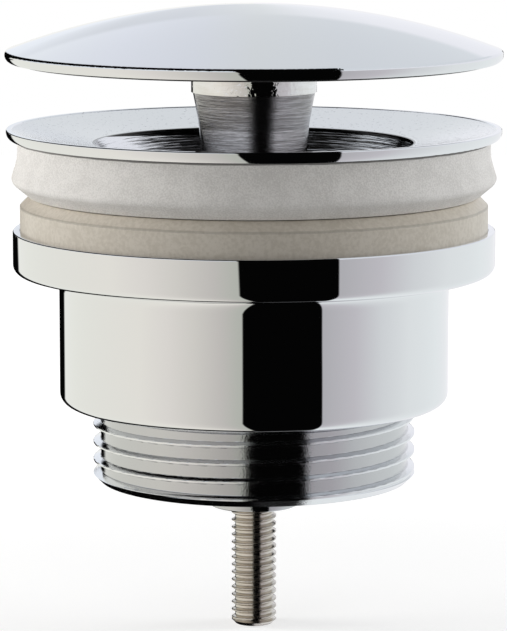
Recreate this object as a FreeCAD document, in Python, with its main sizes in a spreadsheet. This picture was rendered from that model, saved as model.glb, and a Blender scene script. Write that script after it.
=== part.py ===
"""Pop-up basin waste, G 1 1/4, with a press-to-close cap, as a parametric document in millimetres.

The frame has +Z up along the waste's axis. Its origin is where the underside of the upper
gasket bears on the basin. Heights above that seat are positive, and a size whose name
ends in _depth is measured down from the seat. The cap is drawn in its open position.
"""
import FreeCAD, Part
import math
import os

import Sketcher

SIZES = {
    # clearances
    "thread_gap": 0.05,
    "slide_gap": 0.10,
    "seat_gap": 0.15,
    "loose_gap": 0.50,
    # basin flange
    "flange_radius": 31.95,
    "flange_top": 8.50,
    "flange_rim_height": 1.40,
    "flange_rim_width": 0.75,
    "flange_wall": 1.50,
    "flange_lip_round": 0.15,
    "flange_edge_round": 1.05,
    "dish_lip": 0.10,
    "dish_depth": 1.90,
    "bore_radius": 20.60,
    "skirt_wall": 1.40,
    "skirt_depth": 23.90,
    "arm_width": 3.00,
    "arm_height": 3.30,
    "hub_wall": 3.10,
    "hub_top_depth": 20.20,
    "hub_floor_depth": 29.00,
    "hub_floor": 2.00,
    # gaskets
    "gasket_radius": 31.46,
    "gasket_bulge_height": 1.85,
    "gasket_bulge_round": 1.00,
    "gasket_waist_radius": 30.40,
    "gasket_waist_height": 5.20,
    "gasket_waist_round": 6.00,
    "gasket_top_radius": 30.60,
    "gasket_foot_radius": 29.25,
    "lower_gasket_radius": 30.25,
    "lower_gasket_depth": 7.50,
    "lower_gasket_bevel": 1.30,
    # lower body
    "recess_wall": 0.90,
    "ring_top_depth": 4.60,
    "ring_bottom_depth": 10.10,
    "ring_edge_round": 1.10,
    "ring_lip_round": 0.40,
    "ring_root_round": 0.90,
    "cup_wall": 2.50,
    "cup_bottom_depth": 27.20,
    "cup_floor": 2.00,
    "cup_edge_round": 1.40,
    "tail_radius": 20.955,
    "tail_bore_radius": 17.80,
    "tail_bottom_depth": 37.30,
    "tail_chamfer": 0.85,
    "rib_width": 2.60,
    "rib_height": 3.00,
    "boss_radius": 5.75,
    "boss_bottom_depth": 41.00,
    "boss_edge_break": 0.30,
    # clamp screw and its washer
    "screw_radius": 3.00,
    "screw_end_depth": 56.80,
    "screw_end_chamfer": 0.50,
    "screw_head_radius": 5.00,
    "screw_head_height": 3.90,
    "screw_slot_width": 1.60,
    "screw_slot_depth": 1.80,
    "screw_washer_radius": 5.30,
    "screw_washer_thickness": 0.60,
    # cam post
    "post_radius": 4.60,
    "post_top_depth": 5.60,
    "post_thread_radius": 5.40,
    "post_thread_length": 3.80,
    "post_collar_radius": 7.20,
    "post_collar_flat": 6.40,
    "post_collar_height": 1.60,
    "post_edge_break": 0.30,
    "groove_depth": 0.90,
    "track_overcut": 0.20,
    "groove_top_depth": 7.00,
    "latch_angle": 50.0,
    "notch_angle": 25.0,
    "notch_rise": 0.80,
    "post_seal_section": 0.62,
    "post_seal_radius": 6.25,
    # guide bush, spring and spring washer
    "bush_flange": 1.20,
    "bush_pin_radius": 1.50,
    "bush_pin_length": 3.00,
    "spring_washer_thickness": 0.40,
    "spring_radius": 4.80,
    "spring_wire_radius": 0.35,
    "spring_turns": 5.5,
    # cap and its seal
    "cap_radius": 32.05,
    "cap_rim_bottom": 17.10,
    "cap_rim_height": 1.40,
    "cap_crown": 5.90,
    "cap_wall": 1.60,
    "cap_lip_round": 0.45,
    "cap_edge_round": 0.95,
    "cap_lip_width": 1.50,
    "cap_land_height": 18.20,
    "cap_rib_width": 1.20,
    "cap_rib_bottom": 17.25,
    "cap_boss_radius": 6.60,
    "cap_boss_bottom": 17.60,
    "seal_width": 3.90,
    "seal_bottom": 16.85,
    "seal_edge_break": 0.30,
    "cap_travel": 8.40,
    # lock collar and stud
    "collar_radius": 8.10,
    "stud_bottom": 9.30,
    "stud_top": 21.40,
    # neck
    "neck_top": 13.15,
    "neck_top_radius": 7.90,
    "neck_step_height": 11.45,
    "neck_step_radius": 7.56,
    "neck_middle_height": 8.60,
    "neck_middle_radius": 7.10,
    "neck_waist_height": 3.60,
    "neck_waist_radius": 6.70,
    "neck_flare_height": 1.00,
    "neck_foot_depth": 1.50,
    "neck_foot_radius": 9.30,
    "neck_bottom_depth": 9.70,
    "neck_ceiling": 9.00,
    "neck_bore_radius": 5.60,
    "neck_foot_break": 0.50,
    # latch ring, its pins, washer and circlip
    "latch_ring_radius": 7.65,
    "latch_ring_half_height": 1.20,
    "pin_radius": 0.80,
    "pin_reach": 0.80,
    "latch_washer_thickness": 0.50,
    "circlip_thickness": 0.50,
    "circlip_bite": 0.55,
    "circlip_width": 1.40,
    "circlip_gap_angle": 50.0,
    "circlip_eye_radius": 0.45,
    "circlip_lug_radius": 1.00,
    "circlip_lug_angle": 12.0,
}
ARM_COUNT = 4
RIB_COUNT = 4
COLLAR_FLATS = 6
LATCH_PINS = 2
WIRE_SIDES = 8


class Size:
    """A length with its value and the expression that gives it in the sheet's names."""

    def __init__(self, value, text):
        self.value = value
        self.text = text

    def join(self, sign, value, other):
        return Size(value, f"({self.text} {sign} {other.text})")

    def __add__(self, other):
        other = as_size(other)
        return self.join("+", self.value + other.value, other)

    def __sub__(self, other):
        other = as_size(other)
        return self.join("-", self.value - other.value, other)

    def __mul__(self, other):
        other = as_size(other)
        return self.join("*", self.value * other.value, other)

    def __truediv__(self, other):
        other = as_size(other)
        return self.join("/", self.value / other.value, other)

    def __neg__(self):
        return Size(-self.value, f"(0 - {self.text})")

    def __abs__(self):
        return Size(abs(self.value), f"abs({self.text})")

    def at_most(self, other):
        return Size(min(self.value, other.value), f"min({self.text}; {other.text})")


def as_size(number):
    """Give a plain number the form of a Size."""
    return number if isinstance(number, Size) else Size(float(number), repr(float(number)))


class Sheet:
    """The spreadsheet of driving sizes, read as attributes that are Size objects."""

    def __init__(self, doc):
        self.table = doc.addObject("Spreadsheet::Sheet", "sizes")
        for row, (name, value) in enumerate(SIZES.items(), start=1):
            self.table.set(f"A{row}", name)
            self.table.set(f"B{row}", str(value))
            self.table.setAlias(f"B{row}", name)
        doc.recompute()

    def __getattr__(self, name):
        if name not in SIZES:
            raise AttributeError(name)
        return Size(float(self.table.get(name)), f"sizes.{name}")


doc = FreeCAD.newDocument("basin_waste")
s = Sheet(doc)
CENTRE = as_size(0)


def new_body(name):
    body = doc.addObject("PartDesign::Body", name)
    body.Label = name
    return body


def origin_plane(body, role):
    return next(item for item in body.Origin.OriginFeatures if item.Role == role)


def new_sketch(body, name, role="XZ_Plane", height=None):
    """Add a sketch on one of the body's own planes, lifted along the plane's normal by height."""
    sketch = body.newObject("Sketcher::SketchObject", name)
    sketch.AttachmentSupport = (origin_plane(body, role), [""])
    sketch.MapMode = "FlatFace"
    if height is not None:
        sketch.setExpression(".AttachmentOffset.Base.z", height.text)
    return sketch


def bind(sketch, kind, *target):
    """Add a constraint whose last item is a Size, and bind it to the sheet."""
    size = target[-1]
    index = sketch.addConstraint(Sketcher.Constraint(kind, *target[:-1], size.value))
    sketch.setExpression(f"Constraints[{index}]", size.text)


def pin_point(sketch, geometry, position, across, up):
    """Hold a point of the sketch at two sizes from the sketch's origin."""
    bind(sketch, "DistanceX", -1, 1, geometry, position, as_size(across))
    bind(sketch, "DistanceY", -1, 1, geometry, position, as_size(up))


def dome_arc(start, end):
    """The arc about a centre on the axis that joins two points of a profile."""
    (x1, z1), (x2, z2) = start, end
    centre_z = (x1 * x1 + z1 * z1 - x2 * x2 - z2 * z2) / (2 * (z1 - z2))
    radius = math.hypot(x1, z1 - centre_z)
    circle = Part.Circle(FreeCAD.Vector(0, centre_z, 0), FreeCAD.Vector(0, 0, 1), radius)
    angles = [math.atan2(z - centre_z, x) for x, z in (start, end)]
    return Part.ArcOfCircle(circle, min(angles), max(angles)), angles[0] < angles[1]


def outline(sketch, points, domes=()):
    """Draw a closed outline through points of two sizes. The side after a point in domes is an arc."""
    places = [(as_size(a), as_size(b)) for a, b in points]
    values = [(a.value, b.value) for a, b in places]
    ends = []
    for index, start in enumerate(values):
        end = values[(index + 1) % len(values)]
        if index in domes:
            arc, forward = dome_arc(start, end)
            number = sketch.addGeometry(arc, False)
            ends.append((number, 1, 2) if forward else (number, 2, 1))
            sketch.addConstraint(Sketcher.Constraint("PointOnObject", number, 3, -2))
        else:
            line = Part.LineSegment(FreeCAD.Vector(*start, 0), FreeCAD.Vector(*end, 0))
            ends.append((sketch.addGeometry(line, False), 1, 2))
    for index, (number, first, last) in enumerate(ends):
        follower, follower_first, _ = ends[(index + 1) % len(ends)]
        sketch.addConstraint(
            Sketcher.Constraint("Coincident", number, last, follower, follower_first))
        pin_point(sketch, number, first, *places[index])


def circle(sketch, radius, across=CENTRE, up=CENTRE):
    """Draw a circle of a bound radius about a bound point."""
    centre = FreeCAD.Vector(across.value, up.value, 0)
    number = sketch.addGeometry(Part.Circle(centre, FreeCAD.Vector(0, 0, 1), radius.value), False)
    bind(sketch, "Radius", number, radius)
    pin_point(sketch, number, 3, across, up)


def revolve(body, name, points, domes=()):
    """Turn a profile of radius and height once round the axis."""
    sketch = new_sketch(body, f"{name}_profile")
    outline(sketch, points, domes)
    feature = body.newObject("PartDesign::Revolution", name)
    feature.Profile = sketch
    feature.ReferenceAxis = (sketch, ["V_Axis"])
    feature.Angle = 360
    doc.recompute()
    return feature


def extrude(body, kind, name, sketch, length, reverse=False):
    """Pad or pocket a sketch by a bound length, and check that it changed the solid."""
    before = body.Shape.Volume if body.Tip else 0.0
    feature = body.newObject(f"PartDesign::{kind}", name)
    feature.Profile = sketch
    feature.Reversed = reverse
    feature.setExpression("Length", length.text)
    doc.recompute()
    if abs(body.Shape.Volume - before) < 1e-6:
        raise RuntimeError(f"{body.Label}: {name} changed nothing")
    return feature


def repeat(body, name, feature, count):
    """Repeat a feature evenly round the axis."""
    pattern = body.newObject("PartDesign::PolarPattern", name)
    pattern.Originals = [feature]
    pattern.Axis = (origin_plane(body, "Z_Axis"), [""])
    pattern.Angle = 360
    pattern.Occurrences = count
    body.Tip = pattern
    doc.recompute()
    return pattern


def rim_edges(shape, rims):
    """Name the circular edges about the axis that have the given radii and heights."""
    names = []
    for radius, height in rims:
        found = [
            f"Edge{number}" for number, edge in enumerate(shape.Edges, start=1)
            if not edge.Degenerated and isinstance(edge.Curve, Part.Circle)
            and abs(edge.Curve.Radius - as_size(radius).value) < 1e-4
            and abs(edge.Curve.Center.z - as_size(height).value) < 1e-4
            and math.hypot(edge.Curve.Center.x, edge.Curve.Center.y) < 1e-4
        ]
        if not found:
            raise RuntimeError(f"no rim at radius {as_size(radius).value}")
        names += found
    return names


def dress(body, kind, name, size, rims):
    """Round (Fillet) or bevel (Chamfer) rims of the body by one bound size."""
    base = body.Tip
    feature = body.newObject(f"PartDesign::{kind}", name)
    feature.Base = (base, rim_edges(base.Shape, rims))
    feature.setExpression("Radius" if kind == "Fillet" else "Size", size.text)
    doc.recompute()
    return feature


def fitting_round(size, below, corner, above):
    """Limit a rounding so that it fits the wall from a corner up to the next one of a profile."""
    (low_radius, low), (radius, height), (high_radius, high) = below, corner, above
    wall = high - height
    lean = abs((low_radius - radius) / (height - low)) + abs((high_radius - radius) / wall)
    return size.at_most(wall * 2 / lean)


def pad_spokes(body, name, inner, outer, width, bottom, height, count):
    """Pad one spoke from the hub's wall to the tube's wall, and repeat it round the axis."""
    sketch = new_sketch(body, f"{name}_sketch", "XY_Plane", bottom)
    half = width / 2
    outline(sketch, [(inner, -half), (outer, -half), (outer, half), (inner, half)])
    spoke = extrude(body, "Pad", name, sketch, height)
    return repeat(body, f"{name}_round", spoke, count)


# sizes that several pieces share

rim_bottom = s.flange_top - s.flange_rim_height
dish_radius = s.flange_radius - s.flange_rim_width
dish_edge_height = s.flange_top - s.dish_lip
bore_edge_height = s.flange_top - s.dish_depth
skirt_radius = s.bore_radius + s.skirt_wall
throat_height = bore_edge_height - s.flange_wall
hub_bore_radius = s.post_thread_radius + s.slide_gap
hub_radius = hub_bore_radius + s.hub_wall
hub_top = -s.hub_top_depth
hub_floor = -s.hub_floor_depth
gasket_bore_radius = skirt_radius + s.loose_gap
flange_edge_radius = s.gasket_top_radius + s.slide_gap * 2
flange_slope = (rim_bottom - throat_height) / (flange_edge_radius - skirt_radius)
cup_bore_radius = skirt_radius + s.loose_gap + s.loose_gap / 2
cup_radius = cup_bore_radius + s.cup_wall
recess_radius = s.lower_gasket_radius + s.thread_gap
ring_radius = recess_radius + s.recess_wall
screw_hole_radius = s.screw_radius + s.thread_gap
screw_washer_top = hub_floor + s.screw_washer_thickness
post_top = -s.post_top_depth
post_collar_top = hub_top + s.post_collar_height
seal_pocket_radius = s.post_seal_radius + s.post_seal_section + s.slide_gap
seal_pocket_depth = s.post_seal_section * 2
bush_top = post_top + s.bush_flange
spring_floor = bush_top + s.spring_washer_thickness
cap_rim_top = s.cap_rim_bottom + s.cap_rim_height
cap_top = cap_rim_top + s.cap_crown
cap_lip_radius = s.cap_radius - s.cap_lip_width
seal_outer_radius = cap_lip_radius - s.slide_gap
seal_inner_radius = seal_outer_radius - s.seal_width
cap_groove_radius = seal_inner_radius - s.slide_gap
cap_hollow_radius = cap_groove_radius - s.cap_rib_width
pin_height = -s.groove_top_depth
ring_bottom = pin_height - s.latch_ring_half_height
ring_top = pin_height + s.latch_ring_half_height
latch_room_radius = s.latch_ring_radius + s.slide_gap
latch_room_top = ring_top + s.slide_gap
washer_top = ring_bottom - s.slide_gap
washer_bottom = washer_top - s.latch_washer_thickness
circlip_bottom = washer_bottom - s.circlip_thickness
clip_groove_radius = latch_room_radius + s.circlip_bite + s.thread_gap


def make_upper_flange():
    """The dished flange with its skirt tube, and the spider hub that carries post and screw."""
    body = new_body("upper_flange")
    revolve(body, "dish", [
        (s.bore_radius, bore_edge_height),
        (dish_radius, dish_edge_height),
        (dish_radius + s.dish_lip, s.flange_top),
        (s.flange_radius, s.flange_top),
        (s.flange_radius, rim_bottom),
        (flange_edge_radius, rim_bottom),
        (skirt_radius, throat_height),
        (skirt_radius, -s.skirt_depth),
        (s.bore_radius, -s.skirt_depth),
    ])
    dress(body, "Fillet", "rim_lip", s.flange_lip_round, [(s.flange_radius, s.flange_top)])
    dress(body, "Fillet", "rim_edge", s.flange_edge_round, [(s.flange_radius, rim_bottom)])
    hub_sketch = new_sketch(body, "hub_sketch", "XY_Plane", hub_floor - s.hub_floor)
    circle(hub_sketch, hub_radius)
    circle(hub_sketch, hub_bore_radius)
    middle = (hub_radius + hub_bore_radius) / 2
    extrude(body, "Pad", "hub", hub_sketch, s.hub_floor_depth - s.hub_top_depth + s.hub_floor)
    pad_spokes(body, "arm", middle, s.bore_radius + s.skirt_wall / 2, s.arm_width,
               -s.skirt_depth, s.arm_height, ARM_COUNT)
    floor_sketch = new_sketch(body, "hub_floor_sketch", "XY_Plane", hub_floor - s.hub_floor)
    circle(floor_sketch, middle)
    circle(floor_sketch, screw_hole_radius + s.slide_gap)
    extrude(body, "Pad", "hub_base", floor_sketch, s.hub_floor)
    pocket_sketch = new_sketch(body, "seal_pocket_sketch", "XY_Plane", hub_top)
    circle(pocket_sketch, seal_pocket_radius)
    extrude(body, "Pocket", "seal_pocket", pocket_sketch, seal_pocket_depth)
    return body


def make_upper_gasket():
    """The foam gasket between flange and basin, waisted above and bulged below."""
    body = new_body("upper_gasket")
    bulge = (s.gasket_radius, s.gasket_bulge_height)
    waist = (s.gasket_waist_radius, s.gasket_waist_height)
    top = (s.gasket_top_radius, rim_bottom - flange_slope * (s.slide_gap * 2) - s.thread_gap)
    revolve(body, "foam", [
        (gasket_bore_radius, CENTRE),
        (s.gasket_foot_radius, CENTRE),
        bulge,
        waist,
        top,
        (gasket_bore_radius, throat_height + flange_slope * s.loose_gap - s.thread_gap),
    ])
    dress(body, "Fillet", "bulge", s.gasket_bulge_round, [bulge])
    dress(body, "Fillet", "waist", fitting_round(s.gasket_waist_round, bulge, waist, top), [waist])
    return body


def make_lower_gasket():
    """The bevelled gasket that seats in the lower body's recess and bears under the basin."""
    body = new_body("lower_gasket")
    revolve(body, "rubber", [
        (gasket_bore_radius, -s.lower_gasket_depth),
        (s.lower_gasket_radius, -s.lower_gasket_depth),
        (s.lower_gasket_radius, -s.seat_gap),
        (gasket_bore_radius, -s.seat_gap),
    ])
    dress(body, "Chamfer", "bevel", s.lower_gasket_bevel, [(s.lower_gasket_radius, -s.seat_gap)])
    return body


def make_lower_body():
    """The lower casting: gasket ring, cup, threaded tail and the ribbed boss for the screw."""
    body = new_body("lower_body")
    cup_bottom = -s.cup_bottom_depth
    tail_bottom = -s.tail_bottom_depth
    revolve(body, "casting", [
        (s.tail_bore_radius, cup_bottom + s.cup_floor),
        (cup_bore_radius, cup_bottom + s.cup_floor),
        (cup_bore_radius, -s.lower_gasket_depth),
        (recess_radius, -s.lower_gasket_depth),
        (recess_radius, -s.ring_top_depth),
        (ring_radius, -s.ring_top_depth),
        (ring_radius, -s.ring_bottom_depth),
        (cup_radius, -s.ring_bottom_depth),
        (cup_radius, cup_bottom),
        (s.tail_radius, cup_bottom),
        (s.tail_radius, tail_bottom),
        (s.tail_bore_radius, tail_bottom),
    ])
    dress(body, "Fillet", "ring_edge", s.ring_edge_round, [(ring_radius, -s.ring_bottom_depth)])
    dress(body, "Fillet", "ring_lip", s.ring_lip_round, [(ring_radius, -s.ring_top_depth)])
    dress(body, "Fillet", "ring_root", s.ring_root_round, [(cup_radius, -s.ring_bottom_depth)])
    dress(body, "Fillet", "cup_edge", s.cup_edge_round, [(cup_radius, cup_bottom)])
    dress(body, "Chamfer", "tail_end", s.tail_chamfer, [(s.tail_radius, tail_bottom)])
    boss_sketch = new_sketch(body, "boss_sketch", "XY_Plane", -s.boss_bottom_depth)
    circle(boss_sketch, s.boss_radius)
    circle(boss_sketch, screw_hole_radius)
    extrude(body, "Pad", "boss", boss_sketch,
            s.boss_bottom_depth - s.tail_bottom_depth + s.rib_height)
    dress(body, "Chamfer", "boss_edge", s.boss_edge_break, [(s.boss_radius, -s.boss_bottom_depth)])
    wall_middle = (s.tail_bore_radius + s.tail_radius - s.tail_chamfer) / 2
    pad_spokes(body, "rib", (s.boss_radius + screw_hole_radius) / 2, wall_middle, s.rib_width,
               tail_bottom, s.rib_height, RIB_COUNT)
    return body


def make_clamp_screw():
    """The long slotted screw that draws the two halves together."""
    body = new_body("clamp_screw")
    head_top = screw_washer_top + s.screw_head_height
    revolve(body, "shank", [
        (CENTRE, -s.screw_end_depth),
        (s.screw_radius, -s.screw_end_depth),
        (s.screw_radius, screw_washer_top),
        (s.screw_head_radius, screw_washer_top),
        (s.screw_head_radius, head_top),
        (CENTRE, head_top),
    ])
    dress(body, "Chamfer", "end_chamfer", s.screw_end_chamfer, [
        (s.screw_radius, -s.screw_end_depth)])
    slot = new_sketch(body, "slot_sketch", "XY_Plane", head_top)
    reach = s.screw_head_radius + s.loose_gap
    half = s.screw_slot_width / 2
    outline(slot, [(-reach, -half), (reach, -half), (reach, half), (-reach, half)])
    extrude(body, "Pocket", "slot", slot, s.screw_slot_depth)
    return body


def make_ring(name, inner, outer, bottom, top, edge=None):
    """A plain ring of rectangular section, such as a washer, with its lower rims broken if asked."""
    body = new_body(name)
    revolve(body, "ring", [(inner, bottom), (outer, bottom), (outer, top), (inner, top)])
    if edge is not None:
        dress(body, "Chamfer", "edge", edge, [(outer, bottom), (inner, bottom)])
    return body


def make_post_seal():
    """The O-ring that seals the post's thread in the hub."""
    body = new_body("post_seal")
    sketch = new_sketch(body, "section")
    circle(sketch, s.post_seal_section, s.post_seal_radius, hub_top - s.post_seal_section)
    feature = body.newObject("PartDesign::Revolution", "o_ring")
    feature.Profile = sketch
    feature.ReferenceAxis = (sketch, ["V_Axis"])
    feature.Angle = 360
    doc.recompute()
    return body


def make_post_blank():
    """The turned post before its groove is cut: stem, spanner collar and threaded foot."""
    body = new_body("post_blank")
    revolve(body, "turning", [
        (CENTRE, hub_top - s.post_thread_length),
        (s.post_thread_radius, hub_top - s.post_thread_length),
        (s.post_thread_radius, hub_top),
        (s.post_collar_radius, hub_top),
        (s.post_collar_radius, post_collar_top),
        (s.post_radius, post_collar_top),
        (s.post_radius, post_top),
        (CENTRE, post_top),
    ])
    dress(body, "Chamfer", "end_breaks", s.post_edge_break, [
        (s.post_thread_radius, hub_top - s.post_thread_length), (s.post_radius, post_top)])
    flat = new_sketch(body, "flat_sketch", "XY_Plane", post_collar_top)
    far = s.post_collar_radius + s.loose_gap
    outline(flat, [(s.post_collar_flat, -far), (far, -far), (far, far), (s.post_collar_flat, far)])
    cut = extrude(body, "Pocket", "flat", flat, s.post_collar_height)
    repeat(body, "flats", cut, COLLAR_FLATS)
    return body


def track_points():
    """The track of one pin over half a turn, as angle in radians and height of the pin's centre.

    It runs from rest down to the full press, up into the notch that holds the cap closed,
    down to the full press again and back up to rest.
    """
    top = pin_height.value
    floor = top - s.cap_travel.value
    notch = floor + s.notch_rise.value
    press = math.radians(s.latch_angle.value)
    step = math.radians(s.notch_angle.value)
    return [
        (0.0, top), (press, floor), (press + step, notch), (press + 2 * step, floor), (math.pi, top)]


def track_leg(start, end, inner, outer, half_width):
    """Sweep the track's section along the helical line between two points of the stem's surface."""
    radius = s.post_radius.value
    surface = Part.Cylinder()
    surface.Radius = radius
    line = Part.Geom2d.Line2dSegment(FreeCAD.Base.Vector2d(*start), FreeCAD.Base.Vector2d(*end))
    edge = line.toShape(surface)
    place = edge.valueAt(edge.FirstParameter)
    outward = FreeCAD.Vector(place.x, place.y, 0).normalize()
    across = outward.cross(edge.tangentAt(edge.FirstParameter)).normalize()
    corners = [(inner, -half_width), (outer, -half_width), (outer, half_width), (inner, half_width)]
    section = [place + outward * (a - radius) + across * b for a, b in corners]
    return Part.Wire(edge).makePipeShell([Part.makePolygon(section + section[:1])], True, True)


def track_pocket(point, inner, outer, radius):
    """A round pocket at a track point, which joins two legs with the pin's own roundness."""
    angle, height = point
    outward = FreeCAD.Vector(math.cos(angle), math.sin(angle), 0)
    start = outward * inner + FreeCAD.Vector(0, 0, height)
    return Part.makeCylinder(radius, outer - inner, start, outward)


def track_cutters(floor):
    """The cutters of the closed track, sunk below its floor, in the order in which one pin meets them."""
    overcut = s.track_overcut.value
    outer = (s.post_radius + s.groove_depth).value
    half_width = (s.pin_radius + s.slide_gap).value
    pocket_radius = half_width + s.slide_gap.value
    points = track_points()
    half_turn = []
    for start, end in zip(points, points[1:]):
        half_turn.append(track_pocket(start, floor - 2 * overcut, outer + overcut, pocket_radius))
        half_turn.append(track_leg(start, end, floor - overcut, outer, half_width))
    for index in range(LATCH_PINS):
        for cutter in half_turn:
            turned = cutter.copy()
            turned.rotate(FreeCAD.Vector(), FreeCAD.Vector(0, 0, 1), index * 360 / LATCH_PINS)
            yield turned


def make_cam_post():
    """The fixed post: the turned blank with the closed zigzag track cut into its stem.

    The track is cut deeper than its floor, and a plain core then fills it up to the floor, so
    that the floor is one true cylinder under all the legs.
    """
    core_radius = s.post_radius.value - s.groove_depth.value
    track_top = pin_height + s.pin_radius + s.slide_gap * 2
    core_top = (post_top + track_top).value / 2
    core_bottom = post_collar_top.value
    shape = make_post_blank().Shape
    for cutter in track_cutters(core_radius):
        shape = shape.cut(cutter)
    shape = shape.fuse(
        Part.makeCylinder(core_radius, core_top - core_bottom, FreeCAD.Vector(0, 0, core_bottom)))
    hole_depth = (s.bush_pin_length + s.seat_gap).value
    shape = shape.cut(Part.makeCylinder(
        (s.bush_pin_radius + s.thread_gap).value, hole_depth,
        FreeCAD.Vector(0, 0, post_top.value - hole_depth)))
    post = doc.addObject("Part::Feature", "cam_post")
    post.Label = "cam_post"
    post.Shape = shape
    post.Placement = FreeCAD.Placement()
    return post


def make_guide_bush():
    """The top-hat bush on the post, which guides the neck and seats the spring."""
    body = new_body("guide_bush")
    pin_bottom = post_top - s.bush_pin_length
    guide_radius = s.neck_bore_radius - s.slide_gap
    revolve(body, "top_hat", [
        (CENTRE, pin_bottom),
        (s.bush_pin_radius, pin_bottom),
        (s.bush_pin_radius, post_top),
        (guide_radius, post_top),
        (guide_radius, bush_top),
        (CENTRE, bush_top),
    ])
    return body


def make_return_spring():
    """The compression spring inside the neck, between the post's washer and the neck's ceiling.

    Its wire is drawn with eight sides, which keeps the coil's many faces light.
    """
    body = new_body("return_spring")
    start = spring_floor + s.spring_wire_radius + s.thread_gap
    sketch = new_sketch(body, "wire_section")
    corners = []
    for index in range(WIRE_SIDES):
        angle = (index + 0.5) * 2 * math.pi / WIRE_SIDES
        corners.append((s.spring_radius + s.spring_wire_radius * math.cos(angle),
                        start + s.spring_wire_radius * math.sin(angle)))
    outline(sketch, corners)
    doc.recompute()
    coil = body.newObject("PartDesign::AdditiveHelix", "coil")
    coil.Profile = sketch
    coil.ReferenceAxis = (sketch, ["V_Axis"])
    coil.Mode = "height-turns-angle"
    height = s.neck_ceiling - s.spring_wire_radius - s.thread_gap - start
    coil.setExpression("Height", height.text)
    coil.setExpression("Turns", s.spring_turns.text)
    doc.recompute()
    return body


def make_neck():
    """The tapered neck below the cap, which slides over the post and holds the latch ring."""
    body = new_body("neck")
    stud_hole = s.screw_radius + s.thread_gap
    foot_bottom = -s.neck_bottom_depth
    groove_top = washer_bottom + s.thread_gap
    groove_bottom = circlip_bottom - s.thread_gap
    revolve(body, "turning", [
        (stud_hole, s.neck_top),
        (s.neck_top_radius, s.neck_top),
        (s.neck_step_radius, s.neck_step_height),
        (s.neck_middle_radius, s.neck_middle_height),
        (s.neck_waist_radius, s.neck_waist_height),
        (s.neck_waist_radius, s.neck_flare_height),
        (s.neck_foot_radius, -s.neck_foot_depth),
        (s.neck_foot_radius, foot_bottom),
        (latch_room_radius, foot_bottom),
        (latch_room_radius, groove_bottom),
        (clip_groove_radius, groove_bottom),
        (clip_groove_radius, groove_top),
        (latch_room_radius, groove_top),
        (latch_room_radius, latch_room_top),
        (s.neck_bore_radius, latch_room_top),
        (s.neck_bore_radius, s.neck_ceiling),
        (stud_hole, s.neck_ceiling),
    ])
    dress(body, "Chamfer", "foot_break", s.neck_foot_break, [(s.neck_foot_radius, foot_bottom)])
    return body


def make_latch_ring():
    """The ring that turns in the neck's foot and carries the two latch pins."""
    body = new_body("latch_ring")
    inner = s.post_radius + s.slide_gap
    outer = s.latch_ring_radius
    revolve(body, "ring", [
        (inner, ring_bottom), (outer, ring_bottom), (outer, ring_top), (inner, ring_top)])
    hole = new_sketch(body, "pin_hole_sketch", "YZ_Plane")
    circle(hole, s.pin_radius, CENTRE, pin_height)
    drill = extrude(body, "Pocket", "pin_hole", hole, outer + s.loose_gap, reverse=True)
    repeat(body, "pin_holes", drill, LATCH_PINS)
    return body


def make_latch_pins():
    """The pins pressed into the latch ring, which follow the post's track."""
    tip_radius = (s.post_radius - s.pin_reach).value
    length = s.latch_ring_radius.value - tip_radius
    pins = []
    for index in range(LATCH_PINS):
        angle = index * 2 * math.pi / LATCH_PINS
        outward = FreeCAD.Vector(math.cos(angle), math.sin(angle), 0)
        start = outward * tip_radius
        start.z = pin_height.value
        pins.append(Part.makeCylinder(s.pin_radius.value, length, start, outward))
    feature = doc.addObject("Part::Feature", "latch_pins")
    feature.Label = "latch_pins"
    feature.Shape = Part.makeCompound(pins)
    feature.Placement = FreeCAD.Placement()
    return feature


def make_latch_circlip():
    """The open ring with two eyes that holds the latch ring and washer in the neck's foot."""
    body = new_body("latch_circlip")
    outer = latch_room_radius + s.circlip_bite
    inner = outer - s.circlip_width
    revolve(body, "spring_ring", [
        (inner, circlip_bottom), (outer, circlip_bottom),
        (outer, washer_bottom), (inner, washer_bottom)])
    gap = math.radians(s.circlip_gap_angle.value / 2)
    reach = outer + s.loose_gap
    mouth = new_sketch(body, "mouth_sketch", "XY_Plane", washer_bottom)
    wide = reach * math.tan(gap)
    outline(mouth, [(CENTRE, CENTRE), (reach, -wide), (reach, wide)])
    extrude(body, "Pocket", "mouth", mouth, s.circlip_thickness)
    middle = inner - s.circlip_eye_radius / 2
    eye_angle = gap + math.radians(s.circlip_lug_angle.value)
    lugs = new_sketch(body, "lug_sketch", "XY_Plane", circlip_bottom)
    eyes = new_sketch(body, "eye_sketch", "XY_Plane", washer_bottom)
    for side in (-1, 1):
        across = middle * math.cos(eye_angle)
        up = middle * (side * math.sin(eye_angle))
        circle(lugs, s.circlip_lug_radius, across, up)
        circle(eyes, s.circlip_eye_radius, across, up)
    extrude(body, "Pad", "lugs", lugs, s.circlip_thickness)
    extrude(body, "Pocket", "eyes", eyes, s.circlip_thickness)
    return body


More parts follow.
